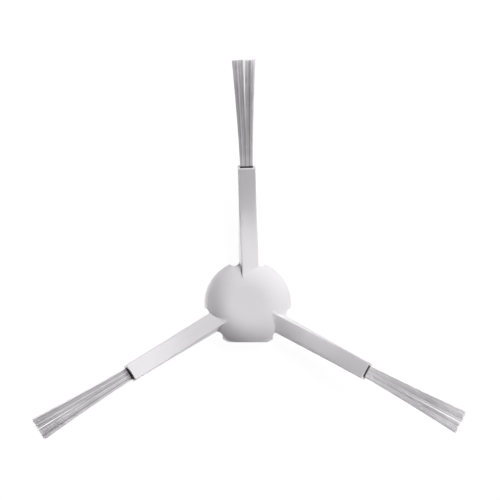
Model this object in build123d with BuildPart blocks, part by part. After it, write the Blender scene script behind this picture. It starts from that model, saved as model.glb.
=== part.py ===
from build123d import *
import os
from math import asin, copysign, cos, degrees, pi, radians, sin, tan

# Robot vacuum side brush, in millimetres and degrees.
# The spin axis is Z, the dome faces up, and the rim of the hub stands on Z = 0.

os.makedirs("parts", exist_ok=True)

# Hub, outside
hub_diameter = 30.0
hub_height = 9.5
crown_flat_diameter = 11.5
crown_radius = 14.0
shoulder_width = 2.0
scoop_radius = 2.0
scoop_depth = 1.2
scoop_angle = 17.5
lone_flat_span = 55.0
lone_flat_angle = 270.0
lone_flat_corner_radius = 3.0
rim_edge_chamfer = 0.4

# Hub, underside
shell_thickness = 1.6
boss_diameter = 12.0
rib_thickness = 1.2
rib_recess = 1.0
drive_square = 6.2
drive_corner_radius = 0.6
drive_depth = 5.0
drive_lead_in = 0.5
pilot_diameter = 5.0
pilot_depth = 2.2
catch_width = 3.0
catch_height = 1.0
catch_lift = 0.25

# Bristles
filament_diameter = 0.40
filament_gap = 0.03
filament_sides = 8
filaments_per_row = 10
filament_rows = 2
tuft_length = 38.0
tuft_straight_length = 8.5
tuft_tip_width = 7.8
tuft_tip_thickness = 1.6
tuft_droop = 3.0
tuft_tip_unevenness = 0.4
tuft_tip_scatter = 0.12
tuft_parting = 0.25
tuft_plug_length = 1.5

# Arms, each leaning a little to the left of its own radius seen from above
arm_count = 3
first_arm_angle = 90.0
arm_start_reach = 5.0
arm_end_reach = 47.2
arm_side_offset = -0.7
arm_lean = 1.3
arm_start_drop = 3.15
arm_start_slope = 1.5
arm_end_slope = 22.0
rise_start_reach = 20.0
rise_end_reach = 41.0
arm_start_twist = 20.0
arm_end_twist = 2.0
twist_start_reach = 9.0
twist_end_reach = 38.0
arm_edge_chamfer = 0.3
arm_sections = 10

# Tuft sockets in the arm ends
socket_depth = 8.0
socket_side_wall = 0.8
socket_upper_wall = 1.0
socket_lower_wall = 0.6
socket_tilt = 4.0
socket_flare = 8.0

# Sizes that follow from those above
hub_radius = hub_diameter / 2
crown_turn = asin((hub_radius - shoulder_width - crown_flat_diameter / 2) / crown_radius)
shoulder_radius = shoulder_width / (1 - sin(crown_turn))
scoop_reach = hub_radius - scoop_depth + scoop_radius
lone_flat_distance = hub_radius * cos(radians(lone_flat_span / 2))
filament_pitch = filament_diameter + filament_gap
socket_width = (filaments_per_row + 0.5) * filament_pitch + filament_gap
bundle_thickness = filament_rows * filament_pitch + filament_gap
mouth_height = bundle_thickness + socket_depth * tan(radians(socket_flare))
arm_width = socket_width + 2 * socket_side_wall
arm_thickness = socket_upper_wall + mouth_height + socket_lower_wall
arm_angles = [first_arm_angle + index * 360 / arm_count for index in range(arm_count)]


def crown_point(turn, inset=0):
    """Point of the dome's half section where its slope is the given turn, drawn in by an inset."""
    across = crown_flat_diameter / 2 + (crown_radius - inset) * sin(turn)
    return (across, hub_height - crown_radius + (crown_radius - inset) * cos(turn))


def hub_plan(inset=0):
    """The hub seen from above: a disc with one flat, and a scoop on each side of every arm.

    The flat's corners are rounded on the outside, where there is no inset."""
    with BuildSketch() as plan:
        Circle(hub_radius - inset)
        with Locations(Location((0, 0, 0), (0, 0, lone_flat_angle))):
            with Locations((lone_flat_distance - inset, 0)):
                Rectangle(hub_radius, hub_diameter, align=(Align.MIN, Align.CENTER), mode=Mode.SUBTRACT)
        if not inset:
            lone_flat_axis = Axis((0, 0, 0), Vector(1, 0, 0).rotate(Axis.Z, lone_flat_angle))
            fillet(plan.vertices().sort_by(lone_flat_axis)[-2:], radius=lone_flat_corner_radius)
        for arm_angle in arm_angles:
            with PolarLocations(scoop_reach, 2, arm_angle - scoop_angle, 2 * scoop_angle, endpoint=True):
                Circle(scoop_radius + inset, mode=Mode.SUBTRACT)
    return plan.sketch


def eased(reach, start, end):
    """Smooth share from 0 at the start reach to 1 at the end reach."""
    share = min(max((reach - start) / (end - start), 0.0), 1.0)
    return share * share * (3 - 2 * share)


def arm_slope(reach):
    """Climb of the arm, in degrees, at a distance from the axis."""
    return arm_start_slope + (arm_end_slope - arm_start_slope) * eased(reach, rise_start_reach, rise_end_reach)


def arm_twist(reach):
    """Tilt of the arm's broad face, in degrees, at a distance from the axis."""
    return arm_start_twist + (arm_end_twist - arm_start_twist) * eased(reach, twist_start_reach, twist_end_reach)


def arm_section_planes():
    """Planes of the arm's cross sections, for an arm along +X, from the boss outwards."""
    step = (arm_end_reach - arm_start_reach) / (arm_sections - 1)
    height = hub_height - arm_start_drop
    planes = []
    for index in range(arm_sections):
        reach = arm_start_reach + index * step
        place = (reach, arm_side_offset + reach * tan(radians(arm_lean)), height)
        slope = radians(arm_slope(reach))
        forward = Vector(cos(slope), 0, sin(slope)).rotate(Axis.Z, arm_lean)
        sideways = Vector(0, 1, 0).rotate(Axis.Z, arm_lean)
        tilted = sideways.rotate(Axis((0, 0, 0), forward), arm_twist(reach))
        planes.append(Plane(origin=place, x_dir=tilted, z_dir=forward))
        height += step * tan(radians(arm_slope(reach + step / 2)))
    return planes


def filament_lines():
    """Where each filament of a tuft starts to fan out, and its tip, seen from the tuft's socket."""
    lines = []
    for row in range(filament_rows):
        row_share = (row - (filament_rows - 1) / 2) / filament_rows
        for column in range(filaments_per_row):
            column_share = (column - (filaments_per_row - 1) / 2 + row_share) / filaments_per_row
            stray = sin((1 + row * filaments_per_row + column) ** 2)
            filament_end = tuft_length + tuft_tip_unevenness * stray
            parted = copysign(tuft_parting / 2, column_share) + tuft_tip_scatter * cos(pi * stray)
            drop = (filament_end - tuft_straight_length) * tan(radians(tuft_droop))
            bend = Vector(
                column_share * filaments_per_row * filament_pitch,
                row_share * filament_rows * filament_pitch,
                tuft_straight_length,
            )
            tip = Vector(
                column_share * tuft_tip_width + parted,
                row_share * tuft_tip_thickness - drop,
                filament_end,
            )
            lines.append((bend, tip))
    return lines


section_planes = arm_section_planes()
arm_end_plane = section_planes[-1]
bundle_height_in_arm = socket_lower_wall + (bundle_thickness - arm_thickness) / 2
tuft_plane = Plane(
    origin=arm_end_plane.from_local_coords((0, bundle_height_in_arm, 0)),
    x_dir=arm_end_plane.x_dir,
    z_dir=arm_end_plane.z_dir.rotate(Axis((0, 0, 0), arm_end_plane.x_dir), socket_tilt),
)

# One arm, along +X
with BuildPart() as arm:
    for section_plane in section_planes:
        with BuildSketch(section_plane) as arm_section:
            Rectangle(arm_width, arm_thickness)
            chamfer(arm_section.vertices(), length=arm_edge_chamfer)
    loft()

# The space of one tuft socket: level below, flared above towards its mouth
mouth_overrun = arm_thickness
flare_rise = (socket_depth + mouth_overrun) * tan(radians(socket_flare))
with BuildPart() as socket_space:
    with BuildSketch(Plane(tuft_plane.origin, x_dir=tuft_plane.z_dir, z_dir=-tuft_plane.x_dir)):
        with BuildLine():
            Polyline(
                (-socket_depth, -bundle_thickness / 2),
                (mouth_overrun, -bundle_thickness / 2),
                (mouth_overrun, bundle_thickness / 2 + flare_rise),
                (-socket_depth, bundle_thickness / 2),
                close=True,
            )
        make_face()
    extrude(amount=socket_width / 2, both=True)

# The dome's solid form
with BuildPart() as dome:
    with BuildSketch(Plane.XZ):
        with BuildLine():
            top = Line((0, hub_height), crown_point(0))
            crown = JernArc(top @ 1, top % 1, crown_radius, -degrees(crown_turn))
            shoulder = JernArc(crown @ 1, crown % 1, shoulder_radius, degrees(crown_turn) - 90)
            Polyline(shoulder @ 1, (hub_radius, 0), (0, 0), (0, hub_height))
        make_face()
    revolve(axis=Axis.Z)
    extrude(hub_plan(), amount=hub_height, mode=Mode.INTERSECT)
    chamfer(dome.edges().group_by(Axis.Z)[0], length=rim_edge_chamfer)

# The hollow under the dome, which leaves a boss and ribs standing in it
skirt_radius = hub_radius - shell_thickness
with BuildPart() as hollow:
    with BuildSketch(Plane.XZ):
        with BuildLine():
            Polyline(
                (0, 0),
                (skirt_radius, 0),
                (skirt_radius, crown_point(crown_turn)[1] - shoulder_radius * cos(crown_turn)),
                crown_point(crown_turn, shell_thickness),
                crown_point(crown_turn / 2, shell_thickness),
                crown_point(0, shell_thickness),
                (0, hub_height - shell_thickness),
                close=True,
            )
        make_face()
    revolve(axis=Axis.Z)
    extrude(hub_plan(shell_thickness), amount=hub_height, mode=Mode.INTERSECT)
    with BuildSketch():
        Circle(boss_diameter / 2)
    extrude(amount=hub_height, mode=Mode.SUBTRACT)
    with BuildSketch(Plane.XY.offset(rib_recess)):
        for arm_angle in arm_angles:
            with Locations(Location((0, 0, 0), (0, 0, arm_angle + 180))):
                Rectangle(hub_radius, rib_thickness, align=(Align.MIN, Align.CENTER))
    extrude(amount=hub_height, mode=Mode.SUBTRACT)

# Hub and arms, moulded as one piece
with BuildPart() as hub_and_arms:
    add(dome.part)
    add(hollow.part, mode=Mode.SUBTRACT)
    for arm_angle in arm_angles:
        add(arm.part.rotate(Axis.Z, arm_angle))
    for arm_angle in arm_angles:
        add(socket_space.part.rotate(Axis.Z, arm_angle), mode=Mode.SUBTRACT)
    with BuildSketch():
        RectangleRounded(drive_square, drive_square, drive_corner_radius)
    extrude(amount=drive_depth, mode=Mode.SUBTRACT)
    with BuildSketch():
        RectangleRounded(
            drive_square + 2 * drive_lead_in,
            drive_square + 2 * drive_lead_in,
            drive_corner_radius + drive_lead_in,
        )
    extrude(amount=drive_lead_in, taper=45, mode=Mode.SUBTRACT)
    with BuildSketch(Plane.XY.offset(drive_depth)):
        Circle(pilot_diameter / 2)
    extrude(amount=pilot_depth, mode=Mode.SUBTRACT)
    with BuildSketch(Plane.XZ):
        for side in (-1, 1):
            with BuildLine():
                Polyline(
                    (side * drive_square / 2, drive_depth / 2),
                    (side * (drive_square / 2 - catch_lift), drive_depth / 2 + catch_height / 2),
                    (side * drive_square / 2, drive_depth / 2 + catch_height),
                    close=True,
                )
            make_face()
    extrude(amount=catch_width / 2, both=True)

hub_and_arms.part.label = "hub_and_arms"
export_step(hub_and_arms.part, "parts/hub_and_arms.step")

# One bristle tuft, along +X: filaments that leave the socket side by side and then fan out
with BuildPart() as tuft:
    with BuildSketch(tuft_plane.offset(-socket_depth)):
        Rectangle(socket_width - 2 * filament_gap, bundle_thickness - 2 * filament_gap)
    extrude(amount=tuft_plug_length)
    with BuildSketch(tuft_plane.offset(-socket_depth)):
        with Locations(*[(bend.X, bend.Y) for bend, tip in filament_lines()]):
            RegularPolygon(filament_diameter / 2, filament_sides)
    extrude(amount=socket_depth + tuft_straight_length)
    fan_runs = []
    for bend, tip in filament_lines():
        fan = tuft_plane.from_local_coords(tip) - tuft_plane.from_local_coords(bend)
        with BuildSketch(tuft_plane.offset(tuft_straight_length)):
            with Locations((bend.X, bend.Y)):
                RegularPolygon(filament_diameter / 2, filament_sides)
        fan_runs.append(extrude(amount=fan.length, dir=fan, mode=Mode.PRIVATE))
    add(fan_runs)

for tuft_number, arm_angle in enumerate(arm_angles, start=1):
    with BuildPart() as placed_tuft:
        add(tuft.part.rotate(Axis.Z, arm_angle))
    placed_tuft.part.label = f"bristle_tuft_{tuft_number}"
    export_step(placed_tuft.part, f"parts/bristle_tuft_{tuft_number}.step")
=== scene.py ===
from math import copysign, cos, pi, radians, sin, tan

import bmesh
import bpy
from mathutils import Matrix, Vector


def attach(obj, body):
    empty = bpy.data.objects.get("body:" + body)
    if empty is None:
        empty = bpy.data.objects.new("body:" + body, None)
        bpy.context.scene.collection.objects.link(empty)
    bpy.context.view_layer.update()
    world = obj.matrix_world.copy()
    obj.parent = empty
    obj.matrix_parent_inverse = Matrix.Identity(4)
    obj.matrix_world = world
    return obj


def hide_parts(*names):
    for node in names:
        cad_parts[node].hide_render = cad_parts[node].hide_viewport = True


# Robot vacuum side brush: a light domed hub with three twisted arms and a grey tuft in each.
# Metres, dome up along +Z, rim of the hub on Z = 0.

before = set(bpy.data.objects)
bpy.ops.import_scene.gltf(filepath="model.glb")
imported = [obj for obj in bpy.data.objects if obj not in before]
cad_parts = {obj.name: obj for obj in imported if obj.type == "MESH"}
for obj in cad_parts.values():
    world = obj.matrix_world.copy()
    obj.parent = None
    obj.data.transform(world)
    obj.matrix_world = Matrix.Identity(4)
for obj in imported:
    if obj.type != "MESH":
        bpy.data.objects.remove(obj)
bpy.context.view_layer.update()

BODY = "root"
TUFT_NODES = ["bristle_tuft_1", "bristle_tuft_2", "bristle_tuft_3"]

# Bristles: the solids' tufts drawn with finer filaments, level tips and a clearer parting
FILAMENT_DIAMETER = 0.000215
FILAMENT_PITCH = 0.000220
ROW_PITCH = 0.000300
FILAMENTS_PER_ROW = 20
FILAMENT_ROWS = 3
FILAMENT_SIDES = 6
FAN_RINGS = 8
RING_CROWDING = 1.8
SOCKET_DEPTH = 0.0080
PLUG_LENGTH = 0.0015
STRAIGHT_LENGTH = 0.0085
TUFT_LENGTH = 0.0380
TIP_WIDTH = 0.0077
TIP_THICKNESS = 0.0014
TIP_UNEVENNESS = 0.00020
TIP_SCATTER = 0.00004
TUFT_PARTING = 0.00042
TUFT_DROOP = radians(3)
CUT_END_ROUNDING = 0.00003

# Finding a tuft's foot among the points of its solid
FOOT_CORNERS = 4
POINT_DIGITS = 7

# Shade of the bristles: one for each tuft, the third lighter as painted light, streaks across it in
# radians, and painted shade inside the socket
# the third tuft's higher value is painted light, for the stronger light that falls across its filaments
TUFT_SHADES_WITH_PAINTED_LIGHT = (0.70, 0.69, 0.95)
STREAK_STRENGTH = 0.12
WIDE_STREAK = 19
WIDE_STREAK_SHIFT = 2
FINE_STREAK = 43
FINE_STREAK_SHIFT = 1
# painted shade: filaments dark inside the socket, fading out just past its mouth
SOCKET_PAINTED_SHADE = 0.06
PAINTED_SHADE_REACH = 0.00015

# Noise in the finishes: cycles a metre, and detail
NYLON_CLOUD = (260, 2)
PLASTIC_CLOUD = (90, 2)
MOULD_GRAIN = (2600, 4)

# Bristle nylon: its colour at a shade of 0 and of 1, and how far the cloud dims and lifts the shade
NYLON_BLACK = (0, 0, 0)
NYLON_WHITE = (1, 0.974, 1)
NYLON_CLOUD_SHADE = (0.85, 1.15)
NYLON_ROUGHNESS = 0.45

# Moulded plastic: the ends of its colour and of its roughness, and the relief of the mould's grain
PLASTIC_DARKER = (0.765, 0.742, 0.765)
PLASTIC_LIGHTER = (0.800, 0.776, 0.800)
PLASTIC_ROUGHNESS = (0.55, 0.66)
MOULD_GRAIN_STRENGTH = 0.12
MOULD_GRAIN_HEIGHT = 0.00004

# Merging and shading of the moulded piece
MERGE_DISTANCE = 0.000002
CREASE_ANGLE = radians(30)
SOFT_EDGE_ANGLE = radians(60)
LARGE_FACE_WEIGHT = 100

# Camera looking along the spin axis, as in the photograph
CAMERA_AIM = (0.0008, 0.0186)
CAMERA_HEIGHT = 6.0
CAMERA_REACH = 4 * CAMERA_HEIGHT
FRAME_WIDTH = 0.1728
AIM_HEIGHT = 0.010
SENSOR_WIDTH = 36.0

# White table, which shows most of its white as a glow and the rest as light that a shadow takes away
FLOOR_REACH = 8.0
FLOOR_DROP = 0.0001
FLOOR_ALBEDO = 0.3
SHADOW_SHARE = 0.12
FLOOR_GLOW = 1 - SHADOW_SHARE / 2

# Lamps: azimuth from +X towards +Y, and elevation above the table
KEY_AZIMUTH = radians(43)
KEY_ELEVATION = radians(43)
KEY_STRENGTH = 3.5
KEY_SPREAD = radians(50)
LEFT_GLOW_AZIMUTH = radians(189)
LEFT_GLOW_ELEVATION = radians(-24)
LEFT_GLOW_STRENGTH = 3.4
RIGHT_GLOW_AZIMUTH = radians(299)
RIGHT_GLOW_ELEVATION = radians(-34)
RIGHT_GLOW_STRENGTH = 2.1
GLOW_SPREAD = radians(20)
CEILING_AZIMUTH = 0
CEILING_ELEVATION = radians(90)
CEILING_STRENGTH = 2.6
CEILING_SPREAD = radians(20)


def new_object(name, bm):
    """A mesh object at the origin, made from a finished bmesh."""
    mesh = bpy.data.meshes.new(name)
    bm.to_mesh(mesh)
    bm.free()
    piece = bpy.data.objects.new(name, mesh)
    bpy.context.scene.collection.objects.link(piece)
    return piece


def new_material(name):
    """A material with a shader on its output, given with its nodes, its links and the shader."""
    material = bpy.data.materials.new(name)
    material.use_nodes = True
    nodes = material.node_tree.nodes
    links = material.node_tree.links
    nodes.clear()
    output = nodes.new("ShaderNodeOutputMaterial")
    shader = nodes.new("ShaderNodeBsdfPrincipled")
    links.new(shader.outputs["BSDF"], output.inputs["Surface"])
    return material, nodes, links, shader


def noise(nodes, links, scale, detail):
    """Noise on the piece's own coordinates, scale in cycles a metre."""
    place = nodes.new("ShaderNodeTexCoord")
    texture = nodes.new("ShaderNodeTexNoise")
    texture.inputs["Scale"].default_value = scale
    texture.inputs["Detail"].default_value = detail
    links.new(place.outputs["Object"], texture.inputs["Vector"])
    return texture.outputs["Fac"]


def ramp(nodes, links, value, low, high):
    """Colour that runs from low to high as the value goes from 0 to 1."""
    blend = nodes.new("ShaderNodeMix")
    blend.data_type = "RGBA"
    blend.inputs["A"].default_value = (*low, 1)
    blend.inputs["B"].default_value = (*high, 1)
    links.new(value, blend.inputs["Factor"])
    return blend.outputs["Result"]


def span(nodes, links, value, low, high):
    """Number that runs from low to high as the value goes from 0 to 1."""
    scaled = nodes.new("ShaderNodeMapRange")
    scaled.inputs["To Min"].default_value = low
    scaled.inputs["To Max"].default_value = high
    links.new(value, scaled.inputs["Value"])
    return scaled.outputs["Result"]


def moulded_plastic():
    """Satin light plastic with the fine grain that a mould leaves."""
    material, nodes, links, shader = new_material("moulded_plastic")
    cloud = noise(nodes, links, *PLASTIC_CLOUD)
    grain = noise(nodes, links, *MOULD_GRAIN)
    colour = ramp(nodes, links, cloud, PLASTIC_DARKER, PLASTIC_LIGHTER)
    links.new(colour, shader.inputs["Base Color"])
    links.new(span(nodes, links, grain, *PLASTIC_ROUGHNESS), shader.inputs["Roughness"])
    bump = nodes.new("ShaderNodeBump")
    bump.inputs["Strength"].default_value = MOULD_GRAIN_STRENGTH
    bump.inputs["Distance"].default_value = MOULD_GRAIN_HEIGHT
    links.new(grain, bump.inputs["Height"])
    links.new(bump.outputs["Normal"], shader.inputs["Normal"])
    return material


def bristle_nylon():
    """Grey nylon in the shade of each filament, with painted shade inside the socket and painted light on
    the third tuft, not quite even along its length.
    """
    material, nodes, links, shader = new_material("bristle_nylon")
    shade = nodes.new("ShaderNodeAttribute")
    shade.attribute_name = "filament_tone_and_painted_light"
    cloud = noise(nodes, links, *NYLON_CLOUD)
    uneven = nodes.new("ShaderNodeMath")
    uneven.operation = "MULTIPLY"
    links.new(shade.outputs["Fac"], uneven.inputs[0])
    links.new(span(nodes, links, cloud, *NYLON_CLOUD_SHADE), uneven.inputs[1])
    colour = ramp(nodes, links, uneven.outputs["Value"], NYLON_BLACK, NYLON_WHITE)
    links.new(colour, shader.inputs["Base Color"])
    shader.inputs["Roughness"].default_value = NYLON_ROUGHNESS
    return material


def tuft_foot(node):
    """The four corners of a tuft's foot: the points of its solid nearest to the spin axis."""
    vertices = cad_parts[node].data.vertices
    points = {tuple(round(value, POINT_DIGITS) for value in vertex.co) for vertex in vertices}
    nearest = sorted(points, key=lambda point: point[0] ** 2 + point[1] ** 2)
    return [Vector(point) for point in nearest[:FOOT_CORNERS]]


def tuft_axes(node):
    """Matrix from a tuft's own frame to the part's: across, towards the dome side, and outwards."""
    foot = tuft_foot(node)
    middle = sum(foot, Vector()) / FOOT_CORNERS
    spacing = sorted((corner - foot[0] for corner in foot[1:]), key=lambda gap: gap.length)
    rise = spacing[0] if spacing[0].z > 0 else -spacing[0]
    across = spacing[1]
    outward = across.cross(rise)
    if outward.dot(middle) < 0:
        across = -across
        outward = -outward
    across.normalize()
    outward.normalize()
    rise = outward.cross(across)
    turn = Matrix((across, rise, outward)).transposed().to_4x4()
    return Matrix.Translation(middle + SOCKET_DEPTH * outward) @ turn


def filament_points(row, column):
    """Points down one filament, from the plug to its cut end, in the tuft's own frame."""
    row_share = (row - (FILAMENT_ROWS - 1) / 2) / FILAMENT_ROWS
    column_share = (column - (FILAMENTS_PER_ROW - 1) / 2 + row_share) / FILAMENTS_PER_ROW
    stray = sin((1 + row * FILAMENTS_PER_ROW + column) ** 2)
    end = TUFT_LENGTH + TIP_UNEVENNESS * stray
    parted = copysign(TUFT_PARTING / 2, column_share) + TIP_SCATTER * cos(pi * stray)
    drop = (end - STRAIGHT_LENGTH) * tan(TUFT_DROOP)
    across = column_share * FILAMENTS_PER_ROW * FILAMENT_PITCH
    rise = row_share * FILAMENT_ROWS * ROW_PITCH
    mouth = Vector((across, rise, 0))
    bend = Vector((across, rise, STRAIGHT_LENGTH))
    tip = Vector((column_share * TIP_WIDTH + parted, row_share * TIP_THICKNESS - drop, end))
    points = [Vector((across, rise, PLUG_LENGTH / 2 - SOCKET_DEPTH))]
    for ring in range(FAN_RINGS + 1):
        share = (ring / FAN_RINGS) ** RING_CROWDING
        points.append((1 - share) ** 2 * mouth + 2 * share * (1 - share) * bend + share ** 2 * tip)
    return points


def filament_tone_and_painted_light(tuft_index, row, column):
    """Lightness of one filament: its tuft's own, which for the third tuft holds painted light, with wide
    and fine streaks across the tuft.
    """
    place = (column + row / FILAMENT_ROWS) / FILAMENTS_PER_ROW
    wide = sin(WIDE_STREAK * place + WIDE_STREAK_SHIFT * tuft_index)
    fine = sin(FINE_STREAK * place + FINE_STREAK_SHIFT * tuft_index)
    return TUFT_SHADES_WITH_PAINTED_LIGHT[tuft_index] + STREAK_STRENGTH * (wide + fine)


def painted_socket_shade(distance):
    """Share of a filament's lightness at a distance from the mouth: painted shade, dark inside the socket.
    """
    share_out = min(max(distance / PAINTED_SHADE_REACH, 0), 1)
    return SOCKET_PAINTED_SHADE + (1 - SOCKET_PAINTED_SHADE) * share_out


def draw_filament(bm, points, shade_layer, shade):
    """A round filament drawn out from its first point to its last, with a cut end."""
    start = bmesh.ops.create_circle(
        bm, segments=FILAMENT_SIDES, radius=FILAMENT_DIAMETER / 2, matrix=Matrix.Translation(points[0])
    )
    ring = list({edge for vertex in start["verts"] for edge in vertex.link_edges})
    drawn = list(start["verts"])
    steps = [after - before for before, after in zip(points, points[1:])]
    for step in steps:
        grown = bmesh.ops.extrude_edge_only(bm, edges=ring)["geom"]
        ring = [item for item in grown if isinstance(item, bmesh.types.BMEdge)]
        verts = [item for item in grown if isinstance(item, bmesh.types.BMVert)]
        bmesh.ops.translate(bm, vec=step, verts=verts)
        drawn += verts
    cut_end = bmesh.ops.contextual_create(bm, geom=ring)["faces"][0]
    rounded = bmesh.ops.inset_region(bm, faces=[cut_end], thickness=CUT_END_ROUNDING, depth=0)
    bmesh.ops.translate(bm, vec=steps[-1].normalized() * CUT_END_ROUNDING, verts=cut_end.verts)
    drawn += [vertex for face in rounded["faces"] for vertex in face.verts] + list(cut_end.verts)
    for vertex in drawn:
        # each filament's shade is darkened here by painted shade inside the socket
        vertex[shade_layer] = shade * painted_socket_shade(vertex.co.z)
        for face in vertex.link_faces:
            face.smooth = True
    cut_end.smooth = False


def bristle_tuft(node, material):
    """One tuft that stands for its solid: a plug in the socket and the filaments that fan out of it."""
    tuft_index = TUFT_NODES.index(node)
    bm = bmesh.new()
    shade_layer = bm.verts.layers.float.new("filament_tone_and_painted_light")
    plug = bmesh.ops.create_cube(bm, size=1.0)["verts"]
    plug_width = (FILAMENTS_PER_ROW - 1) * FILAMENT_PITCH + FILAMENT_PITCH / 2 + FILAMENT_DIAMETER
    plug_height = (FILAMENT_ROWS - 1) * ROW_PITCH + FILAMENT_DIAMETER
    bmesh.ops.scale(bm, vec=(plug_width, plug_height, PLUG_LENGTH), verts=plug)
    bmesh.ops.translate(bm, vec=(0, 0, PLUG_LENGTH / 2 - SOCKET_DEPTH), verts=plug)
    for row in range(FILAMENT_ROWS):
        for column in range(FILAMENTS_PER_ROW):
            shade = filament_tone_and_painted_light(tuft_index, row, column)
            draw_filament(bm, filament_points(row, column), shade_layer, shade)
    bmesh.ops.recalc_face_normals(bm, faces=bm.faces)
    bmesh.ops.transform(bm, matrix=tuft_axes(node), verts=bm.verts)
    tuft = new_object(node.replace("bristle_tuft", "nylon_tuft"), bm)
    tuft.data.materials.append(material)
    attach(tuft, BODY)
    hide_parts(node)


def hub_moulding(material):
    """The moulded hub and arms, a merged copy of its solid with edges that shade as small rounds."""
    bm = bmesh.new()
    bm.from_mesh(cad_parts["hub_and_arms"].data)
    bmesh.ops.remove_doubles(bm, verts=bm.verts, dist=MERGE_DISTANCE)
    for face in bm.faces:
        face.smooth = True
        face.material_index = 0
    for edge in bm.edges:
        bend = edge.calc_face_angle_signed(0)
        edge.smooth = -CREASE_ANGLE < bend < SOFT_EDGE_ANGLE
    hub = new_object("hub_moulding", bm)
    hub.data.materials.append(material)
    weighted = hub.modifiers.new("edge_shading", "WEIGHTED_NORMAL")
    weighted.keep_sharp = True
    weighted.weight = LARGE_FACE_WEIGHT
    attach(hub, BODY)
    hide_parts("hub_and_arms")


def seen_directly(nodes, links):
    """1 for camera, glossy and transmission rays, and 0 for the light that bounces."""
    path = nodes.new("ShaderNodeLightPath")
    seen = path.outputs["Is Camera Ray"]
    for ray in ("Is Glossy Ray", "Is Transmission Ray"):
        either = nodes.new("ShaderNodeMath")
        either.operation = "ADD"
        either.use_clamp = True
        links.new(seen, either.inputs[0])
        links.new(path.outputs[ray], either.inputs[1])
        seen = either.outputs["Value"]
    return seen


def matt_grey(nodes, lightness):
    """A plain matt shader of one grey."""
    matt = nodes.new("ShaderNodeBsdfDiffuse")
    matt.inputs["Color"].default_value = (lightness, lightness, lightness, 1)
    return matt.outputs["BSDF"]


def white_table():
    """White where it is seen, apart from a faint shadow, and a plain grey to the light that bounces."""
    material = bpy.data.materials.new("white_table")
    material.use_nodes = True
    nodes = material.node_tree.nodes
    links = material.node_tree.links
    nodes.clear()
    output = nodes.new("ShaderNodeOutputMaterial")
    glow = nodes.new("ShaderNodeEmission")
    glow.inputs["Strength"].default_value = FLOOR_GLOW
    shown = nodes.new("ShaderNodeAddShader")
    links.new(matt_grey(nodes, SHADOW_SHARE), shown.inputs[0])
    links.new(glow.outputs["Emission"], shown.inputs[1])
    chosen = nodes.new("ShaderNodeMixShader")
    links.new(seen_directly(nodes, links), chosen.inputs["Fac"])
    links.new(matt_grey(nodes, FLOOR_ALBEDO), chosen.inputs[1])
    links.new(shown.outputs["Shader"], chosen.inputs[2])
    links.new(chosen.outputs["Shader"], output.inputs["Surface"])
    return material


def studio_floor():
    """The table's top, which lets the light from below through to the object."""
    bm = bmesh.new()
    bmesh.ops.create_grid(bm, x_segments=1, y_segments=1, size=FLOOR_REACH)
    bmesh.ops.translate(bm, vec=(0, 0, -FLOOR_DROP), verts=bm.verts)
    floor = new_object("studio_floor", bm)
    floor.data.materials.append(white_table())
    floor.visible_shadow = False


def studio_world():
    """White to the camera and in reflections, with no light of its own on the object."""
    world = bpy.data.worlds.new("white_room")
    world.use_nodes = True
    nodes = world.node_tree.nodes
    links = world.node_tree.links
    nodes.clear()
    output = nodes.new("ShaderNodeOutputWorld")
    sky = nodes.new("ShaderNodeBackground")
    links.new(seen_directly(nodes, links), sky.inputs["Strength"])
    links.new(sky.outputs["Background"], output.inputs["Surface"])
    bpy.context.scene.world = world


def sun_lamp(name, azimuth, elevation, strength, spread):
    """A soft lamp far off in the given direction."""
    lamp = bpy.data.lights.new(name, "SUN")
    lamp.energy = strength
    lamp.angle = spread
    sun = bpy.data.objects.new(name, lamp)
    towards = Vector((cos(elevation) * cos(azimuth), cos(elevation) * sin(azimuth), sin(elevation)))
    sun.rotation_mode = "QUATERNION"
    sun.rotation_quaternion = (-towards).to_track_quat("-Z", "Y")
    bpy.context.scene.collection.objects.link(sun)
    return sun


def studio_lamps():
    """One soft key high on the right, the light that the white table throws up, and a ceiling panel.

    The panel shows only as a sheen on level faces, and the other lamps only as plain light."""
    plain = [
        sun_lamp("key_light", KEY_AZIMUTH, KEY_ELEVATION, KEY_STRENGTH, KEY_SPREAD),
        sun_lamp("left_glow", LEFT_GLOW_AZIMUTH, LEFT_GLOW_ELEVATION, LEFT_GLOW_STRENGTH, GLOW_SPREAD),
        sun_lamp("right_glow", RIGHT_GLOW_AZIMUTH, RIGHT_GLOW_ELEVATION, RIGHT_GLOW_STRENGTH, GLOW_SPREAD),
    ]
    for sun in plain:
        sun.visible_glossy = False
    ceiling = sun_lamp(
        "ceiling_panel", CEILING_AZIMUTH, CEILING_ELEVATION, CEILING_STRENGTH, CEILING_SPREAD
    )
    ceiling.visible_diffuse = False


def camera():
    """Long lens far above the part, looking straight down."""
    lens = bpy.data.cameras.new("camera")
    lens.sensor_width = SENSOR_WIDTH
    lens.lens = SENSOR_WIDTH * (CAMERA_HEIGHT - AIM_HEIGHT) / FRAME_WIDTH
    lens.clip_end = CAMERA_REACH
    eye = bpy.data.objects.new("camera", lens)
    eye.location = (*CAMERA_AIM, CAMERA_HEIGHT)
    bpy.context.scene.collection.objects.link(eye)
    bpy.context.scene.camera = eye


nylon = bristle_nylon()
hub_moulding(moulded_plastic())
for tuft_node in TUFT_NODES:
    bristle_tuft(tuft_node, nylon)
studio_floor()
studio_world()
studio_lamps()
camera()
bpy.context.scene.view_settings.view_transform = "Standard"
